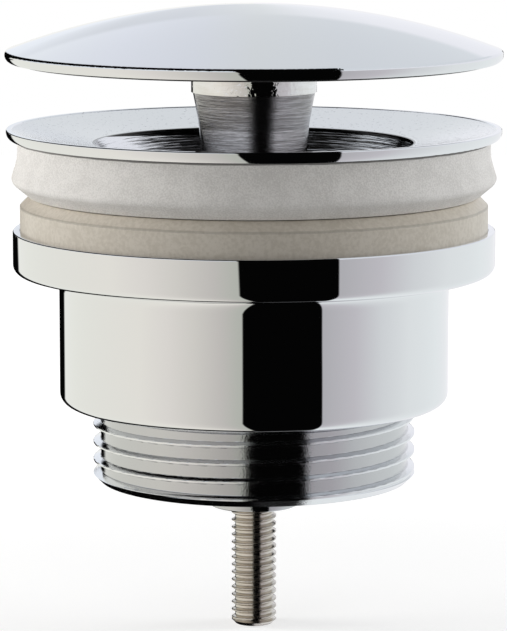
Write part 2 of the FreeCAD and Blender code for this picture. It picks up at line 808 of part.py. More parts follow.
def make_cap():
    """The domed cap: a shell with a rolled rim, a seal groove and a boss for the stud."""
    body = new_body("cap")
    stud_hole = s.screw_radius + s.thread_gap
    hole_top = s.stud_top + s.seat_gap
    dome_drop = s.cap_crown / (s.cap_radius * s.cap_radius)
    ceiling = cap_top - s.cap_wall
    hollow_edge = ceiling - dome_drop * cap_hollow_radius * cap_hollow_radius
    boss_root = ceiling - dome_drop * s.cap_boss_radius * s.cap_boss_radius
    revolve(body, "shell", [
        (CENTRE, cap_top),
        (s.cap_radius, cap_rim_top),
        (s.cap_radius, s.cap_rim_bottom),
        (cap_lip_radius, s.cap_rim_bottom),
        (cap_lip_radius, s.cap_land_height),
        (cap_groove_radius, s.cap_land_height),
        (cap_groove_radius, s.cap_rib_bottom),
        (cap_hollow_radius, s.cap_rib_bottom),
        (cap_hollow_radius, hollow_edge),
        (s.cap_boss_radius, boss_root),
        (s.cap_boss_radius, s.cap_boss_bottom),
        (stud_hole, s.cap_boss_bottom),
        (stud_hole, hole_top),
        (CENTRE, hole_top),
    ], domes=(0, 8))
    dress(body, "Fillet", "rim_lip", s.cap_lip_round, [(s.cap_radius, cap_rim_top)])
    dress(body, "Fillet", "rim_edge", s.cap_edge_round, [(s.cap_radius, s.cap_rim_bottom)])
    return body


def make_cap_stud():
    """The threaded stud that joins cap, lock collar and neck."""
    body = new_body("cap_stud")
    revolve(body, "stud", [
        (CENTRE, s.stud_bottom),
        (s.screw_radius, s.stud_bottom),
        (s.screw_radius, s.stud_top),
        (CENTRE, s.stud_top),
    ])
    dress(body, "Chamfer", "stud_ends", s.screw_end_chamfer / 2, [
        (s.screw_radius, s.stud_bottom), (s.screw_radius, s.stud_top)])
    return body


def make_parts():
    """Build every sub-part and return the list in the order of assembly."""
    post_hole = s.post_radius + s.slide_gap
    return [
        make_upper_flange(),
        make_upper_gasket(),
        make_cam_post(),
        make_post_seal(),
        make_guide_bush(),
        make_ring("spring_washer", s.bush_pin_radius, s.neck_bore_radius - s.slide_gap * 2,
                  bush_top, spring_floor),
        make_ring("screw_washer", s.screw_radius + s.slide_gap, s.screw_washer_radius,
                  hub_floor, screw_washer_top),
        make_cap(),
        make_ring("cap_seal", seal_inner_radius, seal_outer_radius, s.seal_bottom,
                  s.cap_land_height, s.seal_edge_break),
        make_ring("lock_collar", s.screw_radius + s.slide_gap, s.collar_radius,
                  s.neck_top, s.cap_boss_bottom),
        make_cap_stud(),
        make_neck(),
        make_return_spring(),
        make_latch_ring(),
        make_latch_pins(),
        make_ring("latch_washer", post_hole, latch_room_radius - s.thread_gap,
                  washer_bottom, washer_top),
        make_latch_circlip(),
        make_lower_body(),
        make_lower_gasket(),
        make_clamp_screw(),
    ]


def check(parts):
    """Stop if any object failed or any sub-part has no valid solid."""
    for item in doc.Objects:
        if {"Invalid", "Error"} & set(item.State):
            raise RuntimeError(f"{item.Label} failed: {item.State}")
    for part in parts:
        if part.Shape.isNull() or not part.Shape.isValid() or not part.Shape.Solids:
            raise RuntimeError(f"{part.Label} has no valid shape")


def main():
    parts = make_parts()
    doc.recompute()
    check(parts)
    os.makedirs("parts", exist_ok=True)
    for part in parts:
        part.Shape.exportStep(f"parts/{part.Label}.step")
        print(part.Label, len(part.Shape.Solids), round(part.Shape.Volume, 1))


main()
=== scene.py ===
"""Looks of the pop up basin waste: finishes, threads, spring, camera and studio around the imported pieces."""

import logging
import math
from dataclasses import dataclass
from enum import Enum
from typing import Mapping, Sequence, Union

import bmesh
import bpy
from mathutils import Matrix, Vector

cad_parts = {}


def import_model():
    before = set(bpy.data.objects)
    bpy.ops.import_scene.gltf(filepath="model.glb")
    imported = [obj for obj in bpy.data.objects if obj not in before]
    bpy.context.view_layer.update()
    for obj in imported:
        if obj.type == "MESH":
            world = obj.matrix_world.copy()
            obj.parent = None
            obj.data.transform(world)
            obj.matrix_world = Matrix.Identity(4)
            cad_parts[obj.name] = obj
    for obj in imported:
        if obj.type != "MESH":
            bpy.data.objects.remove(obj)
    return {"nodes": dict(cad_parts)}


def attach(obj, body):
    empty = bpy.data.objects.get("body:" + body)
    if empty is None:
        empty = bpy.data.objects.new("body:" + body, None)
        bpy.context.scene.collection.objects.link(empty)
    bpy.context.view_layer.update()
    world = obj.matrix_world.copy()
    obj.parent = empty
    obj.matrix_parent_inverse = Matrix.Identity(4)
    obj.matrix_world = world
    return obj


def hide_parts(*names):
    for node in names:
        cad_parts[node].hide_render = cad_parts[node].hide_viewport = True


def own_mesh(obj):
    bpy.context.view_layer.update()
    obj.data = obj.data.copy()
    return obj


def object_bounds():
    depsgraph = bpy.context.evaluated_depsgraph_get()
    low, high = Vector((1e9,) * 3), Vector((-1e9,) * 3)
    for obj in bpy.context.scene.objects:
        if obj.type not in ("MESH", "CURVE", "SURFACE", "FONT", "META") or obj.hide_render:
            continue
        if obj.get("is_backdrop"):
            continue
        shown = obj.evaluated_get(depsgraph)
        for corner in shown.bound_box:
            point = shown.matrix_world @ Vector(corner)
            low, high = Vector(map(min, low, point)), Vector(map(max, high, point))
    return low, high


LOG = logging.getLogger("basin_waste")
MM = 0.001
TINY = 1e-6
FULL_TURN = 2 * math.pi
Colour = tuple[float, float, float]
Span = tuple[float, float]
Stops = Sequence[tuple[float, Colour]]
Operand = Union["Value", float]


class Value:
    """A number that a node gives. Arithmetic on it adds Math nodes to its tree."""

    def __init__(self, sheet: "Sheet", socket: bpy.types.NodeSocket) -> None:
        """Holds a node's output socket and the sheet that it belongs to."""
        self.sheet = sheet
        self.socket = socket

    def math_on(self, operation: str) -> "Value":
        """The result of a Math node that takes self alone."""
        return self.sheet.number(operation, self)

    def __add__(self, other: Operand) -> "Value":
        """Self plus other."""
        return self.sheet.number("ADD", self, other)

    __radd__ = __add__

    def __sub__(self, other: Operand) -> "Value":
        """Self minus other."""
        return self.sheet.number("SUBTRACT", self, other)

    def __rsub__(self, other: Operand) -> "Value":
        """Other minus self."""
        return self.sheet.number("SUBTRACT", other, self)

    def __mul__(self, other: Operand) -> "Value":
        """Self times other."""
        return self.sheet.number("MULTIPLY", self, other)

    __rmul__ = __mul__

    def __truediv__(self, other: Operand) -> "Value":
        """Self over other."""
        return self.sheet.number("DIVIDE", self, other)

    def __neg__(self) -> "Value":
        """Minus self."""
        return self.sheet.number("MULTIPLY", self, -1.0)

    def size(self) -> "Value":
        """The value without its sign."""
        return self.sheet.number("ABSOLUTE", self)

    def most(self, other: Operand) -> "Value":
        """The larger of self and other."""
        return self.sheet.number("MAXIMUM", self, other)

    def least(self, other: Operand) -> "Value":
        """The smaller of self and other."""
        return self.sheet.number("MINIMUM", self, other)

    def length_with(self, other: "Value") -> "Value":
        """The length of the flat vector that self and other make."""
        return (self * self + other * other).math_on("SQRT")

    def angle_from(self, other: "Value") -> "Value":
        """The angle of self up from other, in radians."""
        return self.sheet.number("ARCTAN2", self, other)

    def part(self) -> "Value":
        """The part after the decimal point."""
        return self.sheet.number("FRACT", self)

    def rises(self, low: float, high: float) -> "Value":
        """A smooth step.

        Args:
            low: Where the step is still 0.
            high: Where it has reached 1. It may be below low, and the step then falls.

        Returns:
            The step, from 0 to 1.
        """
        if low > high:
            return 1.0 - self.rises(high, low)
        inputs = {"Value": self, "From Min": low, "From Max": high}
        return self.sheet.add("ShaderNodeMapRange", {"interpolation_type": "SMOOTHSTEP"}, inputs)


@dataclass(frozen=True)
class Spot:
    """A surface's point in the object's own frame, in millimetres: the vector, its parts and its radius."""

    place: Value
    x: Value
    y: Value
    z: Value
    radius: Value


@dataclass(frozen=True)
class Grain:
    """A noise and how high its relief stands.

    It has scale swells in one unit of the vector that it is read at. Detail says how many finer noises are
    added and roughness how strong they are. Depth is in millimetres, and below 0 it goes inwards.
    """

    scale: float
    detail: float = 2.0
    roughness: float = 0.5
    depth: float = 0.0


class Sheet:
    """A node tree, and the one method that adds any node to it."""

    def __init__(self, tree: bpy.types.NodeTree) -> None:
        """Starts from an empty tree."""
        self.tree = tree
        tree.nodes.clear()

    def add(
        self,
        kind: str,
        settings: Mapping[str, object] | None = None,
        inputs: Mapping[Union[str, int], object] | None = None,
        output: Union[str, int] = 0,
    ) -> Value:
        """Adds a node.

        Args:
            kind: The node's type.
            settings: Its own settings, which are set first. A ramp's are its stops.
            inputs: What its sockets get, by name or number: a Value is linked, and anything else is set.
            output: The output to hand back.

        Returns:
            That output.
        """
        node = self.tree.nodes.new(kind)
        for name, setting in (settings or {}).items():
            if name == "stops":
                self.set_stops(node.color_ramp, setting)
            else:
                setattr(node, name, setting)
        for name, content in (inputs or {}).items():
            if isinstance(content, Value):
                self.tree.links.new(content.socket, node.inputs[name])
            else:
                node.inputs[name].default_value = content
        return Value(self, node.outputs[output] if len(node.outputs) else None)

    def number(self, operation: str, *operands: Operand) -> Value:
        """The result of a new Math node of this operation, with these inputs in order."""
        return self.add("ShaderNodeMath", {"operation": operation}, dict(enumerate(operands)))

    @staticmethod
    def set_stops(ramp: bpy.types.ColorRamp, stops: Stops) -> None:
        """Gives a colour ramp its stops.

        Args:
            ramp: The ramp, with no more elements than there are stops.
            stops: Each stop's place, from 0 to 1, and its colour.
        """
        while len(ramp.elements) < len(stops):
            ramp.elements.new(1.0)
        for element, (place, colour) in zip(ramp.elements, stops):
            element.position = place
            element.color = (*colour, 1.0)

    @staticmethod
    def between(factor: Operand, low: Operand, high: Operand) -> Operand:
        """A number that goes from low to high as factor goes from 0 to 1."""
        return low + factor * (high - low)

    def blend(self, factor: Operand, first: object, second: object) -> Value:
        """A mix of two colours, or of the Values that give them: factor 0 is the first and 1 the second."""
        inputs = {0: factor, 6: self.opaque(first), 7: self.opaque(second)}
        return self.add("ShaderNodeMix", {"data_type": "RGBA"}, inputs, 2)

    @staticmethod
    def opaque(colour: object) -> object:
        """A colour of three numbers with its fourth, or the Value as it came."""
        return colour if isinstance(colour, Value) else (*colour, 1.0)

    def axes(self, vector: Value) -> tuple[Value, Value, Value]:
        """The three numbers of a vector."""
        node = self.add("ShaderNodeSeparateXYZ", {}, {0: vector}).socket.node
        return tuple(Value(self, socket) for socket in node.outputs)

    def vector(self, across: Operand, deep: Operand, up: Operand) -> Value:
        """A vector from three numbers."""
        return self.add("ShaderNodeCombineXYZ", {}, {0: across, 1: deep, 2: up})

    def millimetres(self) -> Value:
        """A surface's point in the object's own frame, in millimetres."""
        place = self.add("ShaderNodeTexCoord", output="Object")
        return self.add("ShaderNodeVectorMath", {"operation": "SCALE"}, {0: place, "Scale": 1.0 / MM})

    def spot(self) -> Spot:
        """Reads a surface's point.

        Returns:
            The point with its parts.
        """
        place = self.millimetres()
        x, y, z = self.axes(place)
        return Spot(place, x, y, z, x.length_with(y))

    def noise(self, vector: Value, grain: Grain) -> Value:
        """A noise of 0 to 1, read at a vector."""
        inputs = {"Vector": vector, "Scale": grain.scale, "Detail": grain.detail, "Roughness": grain.roughness}
        return self.add("ShaderNodeTexNoise", {}, inputs)

    def bump(self, height: Value, depth: float, strength: Operand = 1.0, normal: Value | None = None) -> Value:
        """A bumped normal.

        Args:
            height: The relief, from 0 to 1, or a length in millimetres, which slopes the whole surface.
            depth: How high 1 is, in millimetres.
            strength: How much of it counts.
            normal: A normal that is bumped further.

        Returns:
            The normal.
        """
        inputs = {"Height": height, "Distance": depth * MM, "Strength": strength}
        if normal is not None:
            inputs["Normal"] = normal
        return self.add("ShaderNodeBump", {}, inputs)


def new_material(name: str) -> tuple[bpy.types.Material, Sheet]:
    """Makes an empty node material.

    Args:
        name: Its name.

    Returns:
        The material, and the sheet of its nodes.
    """
    material = bpy.data.materials.new(name)
    material.use_nodes = True
    return material, Sheet(material.node_tree)


def finish_surface(sheet: Sheet, inputs: Mapping[Union[str, int], object]) -> None:
    """Ends a material in one Principled shader with these inputs."""
    shader = sheet.add("ShaderNodeBsdfPrincipled", {}, inputs)
    sheet.add("ShaderNodeOutputMaterial", {}, {"Surface": shader})


class Zone(Enum):
    """Which plated piece a plate is on, and so which marks it has."""

    CAP = "cap"
    FLANGE = "flange"
    LOWER = "lower"


@dataclass(frozen=True)
class Marks:
    """What marks do to a surface: its normal, how dull it is, and how dark it is painted, from 0 to 1. The
    painted dark stands in for shade and for dark reflections.
    """

    normal: Value
    dull: Operand
    dark: Operand


@dataclass(frozen=True)
class ChromePlate:
    """Polished chrome, with what casting and turning left under the plate, and with painted shade and painted
    dark reflection.

    The cap is dull inside and painted dark there, a painted shade under the cap. The flange's dish is pitted
    and its bore has lines around it, with a painted dark band below its edge, which is a painted reflection,
    and a painted shade behind the neck. The tail is grainy, and its thread's root is painted darker, a painted
    shade. The rims of cap and flange are shaded as nearly upright below the heights in RIMS. Each pair of
    numbers gives the places, in millimetres or shares, where a mark is nil and where it is whole.
    """

    SWELL = Grain(0.07, 1.0, depth=0.02)
    DULL_ROUGHNESS = 0.30
    # painted dark tint: the colour of the painted shade and the painted dark reflection
    PAINTED_DARK_TINT = (0.035, 0.034, 0.033)

    RIMS = {Zone.CAP: (18.0, 17.9), Zone.FLANGE: (8.2, 8.1)}
    RIM_WALL = (31.0, 31.05)
    RIM_LEAN = 0.6

    # where the cap's inside lies, which is dull and painted dark, a painted shade
    CROWN = 24.4
    CROWN_BEND = 0.00574
    SHELL_DEPTH = (0.6, 0.9)
    SHELL_WALL = (30.6, 30.5)

    DISH_HEIGHT = (6.5, 6.62)
    DISH_INNER = (20.7, 21.2)
    DISH_OUTER = (31.3, 31.1)
    DISH_GRAIN = Grain(4.5, 2.0, 0.6, 0.016)
    PITS = Grain(2.2, 2.0, 0.6, -0.04)
    PIT_EDGE = (0.64, 0.74)
    PIT_DULLNESS = 0.5

    BORE_WALL = (20.9, 20.8)
    BORE_TOP = 6.6
    BORE_DULLNESS = 0.35
    BORE_SLOPE = 0.27
    BORE_LINES = Grain(1.0, 2.0, 0.6, 0.030)
    BORE_STRETCH = 0.12
    BORE_LINES_PER_MM = 3.4
    # the painted dark band below the bore's edge, a painted reflection
    BAND_TURN = (-2.0, 2.0)
    BAND_START = 7.0
    BAND_GROWTH = 0.083
    BAND_HEIGHT = 0.45
    BAND_EDGE = (-0.06, 0.04)
    # the painted shade on the bore's far side, behind the neck
    SHADE_LEFT = (-14.5, -8.0)
    SHADE_RIGHT = (20.0, 10.0)
    SHADE_FRONT = (0.0, 6.0)
    PAINTED_SHADE_STRENGTH = 0.6

    TAIL_TOP = (-27.2, -27.5)
    TAIL_GRAIN = Grain(4.6, 2.0, 0.7, 0.010)
    TAIL_DULLNESS = 0.20
    # the thread's root is painted darker, a painted shade in the groove
    THREAD_ROOT = (20.2, 20.05)
    ROOT_PAINTED_SHADE = 0.30

    name: str
    tint: Colour
    roughness: float
    zone: Zone

    def upright_rim(self, sheet: Sheet, spot: Spot, normal: Value) -> Value:
        """Turns the normals of a rim's lower round outwards.

        Args:
            sheet: The material's sheet.
            spot: The surface's point.
            normal: The surface's normal so far.

        Returns:
            The normal, which differs only on the rim.
        """
        top, whole = self.RIMS[self.zone]
        rim = spot.z.rises(top, whole) * spot.radius.rises(*self.RIM_WALL)
        outwards = sheet.vector(spot.x / spot.radius, spot.y / spot.radius, (spot.z - top) * self.RIM_LEAN)
        return sheet.add("ShaderNodeMix", {"data_type": "VECTOR"}, {0: rim, 4: normal, 5: outwards}, 1)

    def cap_marks(self, sheet: Sheet, spot: Spot) -> Marks:
        """The cap's marks.

        Args:
            sheet: The material's sheet.
            spot: The surface's point.

        Returns:
            The marks: the cap's dull inside, which is also painted dark, a painted shade under the cap.
        """
        normal = self.upright_rim(sheet, spot, self.swollen(sheet, spot))
        below = self.CROWN - spot.radius * spot.radius * self.CROWN_BEND - spot.z
        # painted shade: the cap's underside is painted dark to stand in for the shade under the cap; its
        # dullness is roughness
        inside = below.rises(*self.SHELL_DEPTH) * spot.radius.rises(*self.SHELL_WALL)
        return Marks(normal, inside, inside)

    def flange_marks(self, sheet: Sheet, spot: Spot) -> Marks:
        """The flange's marks.

        Args:
            sheet: The material's sheet.
            spot: The surface's point.

        Returns:
            The marks: the dish's grain and pits, and the bore's lines, with a painted dark band below its
                edge, which is a
            painted reflection, and a painted shade behind the neck.
        """
        x, y, z, radius = spot.x, spot.y, spot.z, spot.radius
        normal = self.upright_rim(sheet, spot, self.swollen(sheet, spot))
        dish = z.rises(*self.DISH_HEIGHT) * radius.rises(*self.DISH_INNER) * radius.rises(*self.DISH_OUTER)
        grain = sheet.noise(spot.place, self.DISH_GRAIN)
        normal = sheet.bump(grain, self.DISH_GRAIN.depth, dish, normal)
        pits = sheet.noise(spot.place, self.PITS).rises(*self.PIT_EDGE) * dish
        normal = sheet.bump(pits, self.PITS.depth, 1.0, normal)
        bore = radius.rises(*self.BORE_WALL)
        # painted reflection: a dark band painted below the bore's edge
        growing = (y - self.BAND_START).most(0.0) * self.BAND_GROWTH
        painted_reflection_band = sheet.between(x.rises(*self.BAND_TURN), growing, self.BAND_HEIGHT)
        # painted shade: the bore's far side is painted darker behind the neck
        aside = x.rises(*self.SHADE_LEFT) * x.rises(*self.SHADE_RIGHT)
        painted_shade = aside * y.rises(*self.SHADE_FRONT) * self.PAINTED_SHADE_STRENGTH
        # the bore's colour is painted dark in the painted band and in the painted shade
        dark = bore * (z - self.BORE_TOP + painted_reflection_band).rises(*self.BAND_EDGE).most(painted_shade)
        normal = sheet.bump(z, -self.BORE_SLOPE, bore, normal)
        around = sheet.vector(x * self.BORE_STRETCH, y * self.BORE_STRETCH, z * self.BORE_LINES_PER_MM)
        lines = sheet.noise(around, self.BORE_LINES)
        normal = sheet.bump(lines, self.BORE_LINES.depth, bore, normal)
        return Marks(normal, bore * self.BORE_DULLNESS + pits * self.PIT_DULLNESS, dark)

    def lower_marks(self, sheet: Sheet, spot: Spot) -> Marks:
        """The lower body's marks.

        Args:
            sheet: The material's sheet.
            spot: The surface's point.

        Returns:
            The marks: the tail's grain, and a painted shade in its thread's root.
        """
        tail = spot.z.rises(*self.TAIL_TOP)
        grain = sheet.noise(spot.place, self.TAIL_GRAIN)
        normal = sheet.bump(grain, self.TAIL_GRAIN.depth, tail, self.swollen(sheet, spot))
        # painted shade: the thread's root is painted darker where shade falls in the groove
        root_painted_shade = tail * spot.radius.rises(*self.THREAD_ROOT) * self.ROOT_PAINTED_SHADE
        return Marks(normal, tail * self.TAIL_DULLNESS, root_painted_shade)

    def swollen(self, sheet: Sheet, spot: Spot) -> Value:
        """The normal of a polished wall, with its long low swells."""
        return sheet.bump(sheet.noise(spot.place, self.SWELL), self.SWELL.depth)

    def build(self) -> bpy.types.Material:
        """Makes the material.

        Returns:
            The chrome of its piece.
        """
        material, sheet = new_material(self.name)
        marking = {Zone.CAP: self.cap_marks, Zone.FLANGE: self.flange_marks, Zone.LOWER: self.lower_marks}
        marks = marking[self.zone](sheet, sheet.spot())
        # the plate's colour turns to the painted dark tint where the marks paint shade or a dark reflection
        finish_surface(sheet, {
            "Base Color": sheet.blend(marks.dark, self.tint, self.PAINTED_DARK_TINT),
            "Metallic": 1.0,
            "Roughness": sheet.between(marks.dull, self.roughness, self.DULL_ROUGHNESS),
            "Normal": marks.normal,
        })
        return material


@dataclass(frozen=True)
class TurnedMetal:
    """Bare or plated metal with the lathe's lines around it.

    The lines are lines_per_mm close along the axis and bump by line_depth. Wrinkles are those of thick plate.
    Steps turn a tapered wall's normals up by that slope.
    """

    LINES = Grain(1.0, 4.0, 0.7)
    LINE_STRETCH = 0.22
    TINT_SPAN = (0.35, 0.65)
    ROUGH_SPAN = (0.3, 0.7)
    ROUGH_SHARES = (1.25, 0.8)
    WRINKLES = Grain(1.1, 2.0, 0.55)

    name: str
    tint: Colour
    dark_tint: Colour
    roughness: float
    lines_per_mm: float
    line_depth: float
    wrinkle_depth: float = 0.0
    steps: float = 0.0

    def build(self) -> bpy.types.Material:
        """Makes the material.

        Returns:
            The metal.
        """
        material, sheet = new_material(self.name)
        place = sheet.millimetres()
        x, y, z = sheet.axes(place)
        around = sheet.vector(x * self.LINE_STRETCH, y * self.LINE_STRETCH, z * self.lines_per_mm)
        lines = sheet.noise(around, self.LINES)
        normal = sheet.bump(lines, self.line_depth)
        if self.steps:
            normal = sheet.bump(z, -self.steps, 1.0, normal)
        colour = sheet.blend(lines.rises(*self.TINT_SPAN), self.dark_tint, self.tint)
        dull, smooth = (self.roughness * share for share in self.ROUGH_SHARES)
        rough = sheet.between(lines.rises(*self.ROUGH_SPAN), dull, smooth)
        if self.wrinkle_depth:
            normal = sheet.bump(sheet.noise(place, self.WRINKLES), self.wrinkle_depth, 1.0, normal)
        finish_surface(sheet, {"Base Color": colour, "Metallic": 1.0, "Roughness": rough, "Normal": normal})
        return material


@dataclass(frozen=True)
class SoftMaterial:
    """Foam, rubber or plastic: a colour with fine mottling, and a grain of its own size and depth.

    Where it has a dark line, a thin darker line runs around it at that height in millimetres, as dark as the
    share.
    Under the flange that line is a painted shadow.
    """

    GRAIN_DETAIL = (3.0, 0.6)
    MOTTLE = Grain(0.35)
    GRAIN_SHARE = 0.75
    TINT_SPAN = (0.38, 0.62)
    SMOOTH_SHARE = 0.85
    # the dark line, which on the upper gasket is a painted shadow under the flange
    DARK_LINE_WANDER = 0.2
    DARK_LINE_EDGE = (0.20, 0.10)
    DARK_LINE_TINT = 0.15

    name: str
    tint: Colour
    dark_tint: Colour
    roughness: float
    grain_per_mm: float
    grain_depth: float
    gloss: float
    dark_line: Span | None = None

    def build(self) -> bpy.types.Material:
        """Makes the material.

        Returns:
            The soft material.
        """
        material, sheet = new_material(self.name)
        place = sheet.millimetres()
        grain = sheet.noise(place, Grain(self.grain_per_mm, *self.GRAIN_DETAIL))
        mottle = sheet.noise(place, self.MOTTLE)
        mixed = grain * self.GRAIN_SHARE + mottle * (1 - self.GRAIN_SHARE)
        colour = sheet.blend(mixed.rises(*self.TINT_SPAN), self.dark_tint, self.tint)
        # a darker line at the given height; on the upper gasket it is a painted shadow of the flange
        if self.dark_line is not None:
            height, share = self.dark_line
            apart = sheet.axes(place)[2] + mottle * self.DARK_LINE_WANDER - height - self.DARK_LINE_WANDER / 2
            line = apart.size().rises(*self.DARK_LINE_EDGE)
            dark_line_tint = tuple(level * self.DARK_LINE_TINT for level in self.dark_tint)
            colour = sheet.blend(line * share, colour, dark_line_tint)
        finish_surface(sheet, {
            "Base Color": colour,
            "Roughness": sheet.between(grain, self.roughness, self.roughness * self.SMOOTH_SHARE),
            "Normal": sheet.bump(grain, self.grain_depth),
            "Specular IOR Level": self.gloss,
        })
        return material


CHROME_TINT: Colour = (0.78, 0.79, 0.81)
FINISHES: dict[str, Union[ChromePlate, TurnedMetal, SoftMaterial]] = {
    "cap": ChromePlate("polished_cap", CHROME_TINT, 0.03, Zone.CAP),
    "upper_flange": ChromePlate("flange_chrome", CHROME_TINT, 0.03, Zone.FLANGE),
    "lower_body": ChromePlate("lower_chrome", CHROME_TINT, 0.02, Zone.LOWER),
    "lock_collar": TurnedMetal("wrinkled_plate", (0.80, 0.80, 0.81), (0.74, 0.73, 0.72), 0.04, 2.0, 0.01,
                               wrinkle_depth=0.08),
    "neck": TurnedMetal("turned_neck", (0.42, 0.41, 0.42), (0.24, 0.23, 0.23), 0.15, 4.6, 0.034, steps=0.19),
    "clamp_screw": TurnedMetal("screw_steel", (0.68, 0.64, 0.59), (0.50, 0.46, 0.41), 0.17, 8.0, 0.010),
    "screw_washer": TurnedMetal("washer_steel", (0.76, 0.76, 0.77), (0.62, 0.62, 0.63), 0.20, 6.0, 0.02),
    "return_spring": TurnedMetal("spring_wire", (0.56, 0.57, 0.58), (0.42, 0.43, 0.44), 0.25, 5.0, 0.01),
    "latch_circlip": TurnedMetal("clip_steel", (0.54, 0.55, 0.57), (0.40, 0.41, 0.42), 0.28, 5.0, 0.01),
    "spring_washer": TurnedMetal("spring_seat_steel", (0.58, 0.59, 0.60), (0.44, 0.45, 0.46), 0.25, 6.0, 0.01),
    "latch_pins": TurnedMetal("pin_steel", (0.60, 0.61, 0.62), (0.46, 0.47, 0.48), 0.20, 8.0, 0.01),
    "cam_post": TurnedMetal("post_brass", (0.72, 0.55, 0.27), (0.56, 0.41, 0.19), 0.26, 3.0, 0.03),
    "latch_ring": TurnedMetal("ring_brass", (0.73, 0.56, 0.28), (0.58, 0.43, 0.20), 0.24, 4.0, 0.02),
    "cap_stud": TurnedMetal("stud_brass", (0.70, 0.53, 0.26), (0.54, 0.40, 0.18), 0.28, 4.0, 0.02),
    "latch_washer": TurnedMetal("washer_brass", (0.71, 0.54, 0.26), (0.56, 0.42, 0.19), 0.24, 5.0, 0.02),
    "guide_bush": SoftMaterial("white_acetal", (0.88, 0.87, 0.83), (0.84, 0.83, 0.79), 0.38, 1.5, 0.01, 0.5),
    "post_seal": SoftMaterial("seal_rubber", (0.035, 0.035, 0.036), (0.022, 0.022, 0.023), 0.42, 3.0, 0.01,
                              0.5),
    "cap_seal": SoftMaterial("cap_seal_rubber", (0.034, 0.034, 0.035), (0.021, 0.021, 0.022), 0.48, 3.0, 0.01,
                             0.5),
    # the upper gasket's dark line is a painted shadow, the shade that the flange leaves over the foam
    "upper_gasket": SoftMaterial("grained_foam", (0.92, 0.90, 0.87), (0.76, 0.74, 0.71), 0.75, 5.0, 0.05,
                                 0.25, dark_line=(6.95, 0.8)),
    "lower_gasket": SoftMaterial("smooth_rubber", (0.68, 0.63, 0.55), (0.60, 0.55, 0.47), 0.42, 2.0, 0.006,
                                 0.45, dark_line=(-1.45, 0.25)),
}


def new_object(name: str, data: bpy.types.ID) -> bpy.types.Object:
    """Adds an object to the scene, at the origin.

    Args:
        name: Its name.
        data: Its mesh, camera or lamp.

    Returns:
        The object.
    """
    item = bpy.data.objects.new(name, data)
    bpy.context.scene.collection.objects.link(item)
    return item


def object_of(name: str, work: bmesh.types.BMesh) -> bpy.types.Object:
    """Makes an object of mesh work, and frees the work.

    Args:
        name: The name of the object and its mesh.
        work: Its faces, in metres.

    Returns:
        The object, at the origin, with its place in its mesh.
    """
    mesh = bpy.data.meshes.new(name)
    work.to_mesh(mesh)
    work.free()
    return new_object(name, mesh)


def box_between(name: str, low: Vector, high: Vector) -> bpy.types.Object:
    """Makes a closed box.

    Args:
        name: Its name.
        low: Its lowest corner, in millimetres.
        high: Its highest corner, in millimetres.

    Returns:
        The box.
    """
    work = bmesh.new()
    bmesh.ops.create_cube(work, size=1.0)
    for vertex in work.verts:
        vertex.co = Vector([MM * (l + (c + 0.5) * (h - l)) for c, l, h in zip(vertex.co, low, high)])
    return object_of(name, work)


def apply_modifier(piece: bpy.types.Object, modifier: bpy.types.Modifier) -> None:
    """Makes what a modifier shows the object's own mesh.

    Args:
        piece: The object, which keeps its name.
        modifier: Its only modifier, which is removed.
    """
    bpy.context.view_layer.update()
    shown = piece.evaluated_get(bpy.context.evaluated_depsgraph_get())
    mesh = bpy.data.meshes.new_from_object(shown)
    piece.modifiers.remove(modifier)
    piece.data = mesh


def merge_shells(pieces: Sequence[bpy.types.Object]) -> bpy.types.Object:
    """Joins closed shells.

    Args:
        pieces: The shells' objects.

    Returns:
        The first of them, which now holds them all.
    """
    mesh = pieces[0].data
    work = bmesh.new()
    for piece in pieces:
        work.from_mesh(piece.data)
    work.to_mesh(mesh)
    work.free()
    for piece in pieces[1:]:
        bpy.data.objects.remove(piece)
    return pieces[0]


def dress_piece(piece: bpy.types.Object, name: str, material: bpy.types.Material, degrees: float) -> None:
    """Names a finished piece, and gives it its material and its shading.

    Args:
        piece: The piece.
        name: Its name.
        material: Its only material.
        degrees: It is shaded smooth except across edges that turn more than this.
    """
    piece.name = name
    mesh = piece.data
    mesh.materials.clear()
    mesh.materials.append(material)
    mesh.polygons.foreach_set("use_smooth", [True] * len(mesh.polygons))
    mesh.set_sharp_from_angle(angle=math.radians(degrees))


@dataclass(frozen=True)
class Corner:
    """A corner of a turned outline: its radius from the axis, its height and its rounding, in millimetres."""

    radius: float
    height: float
    round: float = 0.0


@dataclass(frozen=True)
class ScrewThread:
    """A right-handed thread cut in a round wall, in millimetres.

    Crest and flank are shares of the pitch, and the rest is the root. The cut fades in over fade at each end.
    """

    pitch: float
    depth: float
    crest: float
    flank: float
    top: float
    bottom: float
    fade_top: float
    fade_bottom: float
    rows_per_pitch: int


